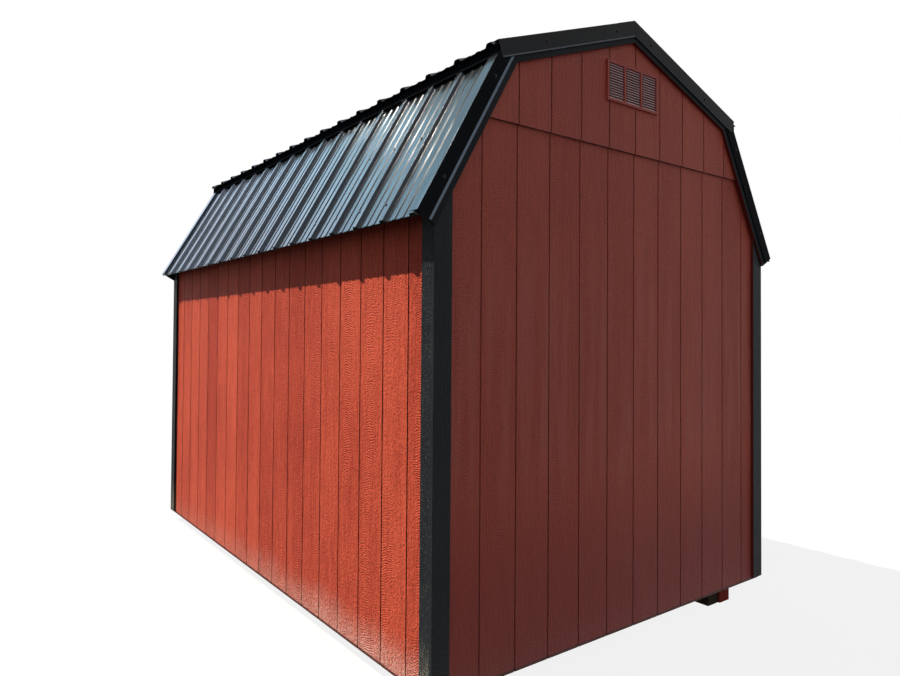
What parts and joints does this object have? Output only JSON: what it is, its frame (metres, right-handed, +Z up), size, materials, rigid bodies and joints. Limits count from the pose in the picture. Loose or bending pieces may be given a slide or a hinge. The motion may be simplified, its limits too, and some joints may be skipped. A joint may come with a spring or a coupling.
{
  "type": "lofted barn shed",
  "caption": "Gambrel-roofed timber storage barn on skids, with red grooved panel siding, black trim, a louvred gable vent and ribbed black metal roofing.",
  "frame": {"origin": "middle of the plan at ground level, on the undersides of the skids", "axes": "+Z up, +Y along the ridge from the plain gable towards the door gable, +X across the gables"},
  "size_m": [2.6856, 3.7476, 3.1502],
  "materials": {
    "siding_red": "barn-red satin paint on embossed wood-grain panel siding",
    "trim_black": "black satin paint on textured trim boards",
    "roof_metal": "glossy black coil-coated ribbed steel",
    "trim_metal": "black coil-coated folded steel",
    "skid_timber": "rough treated timber with red overspray at the ends",
    "framing_timber": "bare planed softwood",
    "sheathing_board": "bare strand board",
    "vent_red": "barn-red painted louvred vent",
    "door_steel": "black powder-coated steel"
  },
  "bodies": {
    "root": {"left_siding": "siding_red", "right_siding": "siding_red", "front_lower_siding": "siding_red", "front_upper_siding": "siding_red", "back_left_siding": "siding_red", "back_right_siding": "siding_red", "back_over_door_siding": "siding_red", "back_upper_siding": "siding_red", "left_door_leaf": "siding_red", "right_door_leaf": "siding_red", "front_corner_boards": "trim_black", "back_corner_boards": "trim_black", "left_corner_boards": "trim_black", "right_corner_boards": "trim_black", "front_upper_rake_boards": "trim_black", "front_lower_rake_boards": "trim_black", "back_upper_rake_boards": "trim_black", "back_lower_rake_boards": "trim_black", "left_door_boards": "trim_black", "right_door_boards": "trim_black", "door_casing": "trim_black", "left_lower_sheet": "roof_metal", "right_lower_sheet": "roof_metal", "left_upper_sheet": "roof_metal", "right_upper_sheet": "roof_metal", "front_upper_rake_trim": "trim_metal", "front_lower_rake_trim": "trim_metal", "back_upper_rake_trim": "trim_metal", "back_lower_rake_trim": "trim_metal", "ridge_cap": "trim_metal", "left_knee_flashing": "trim_metal", "right_knee_flashing": "trim_metal", "left_skids": "skid_timber", "right_skids": "skid_timber", "floor_joists": "framing_timber", "floor_rims": "framing_timber", "left_wall_frame": "framing_timber", "right_wall_frame": "framing_timber", "front_wall_frame": "framing_timber", "back_wall_frame": "framing_timber", "roof_rafters": "framing_timber", "gable_packing": "framing_timber", "floor_deck": "sheathing_board", "lower_roof_decks": "sheathing_board", "upper_roof_decks": "sheathing_board", "front_vent": "vent_red", "back_vent": "vent_red", "door_hinges": "door_steel", "door_hasp": "door_steel"}
  },
  "joints": []
}
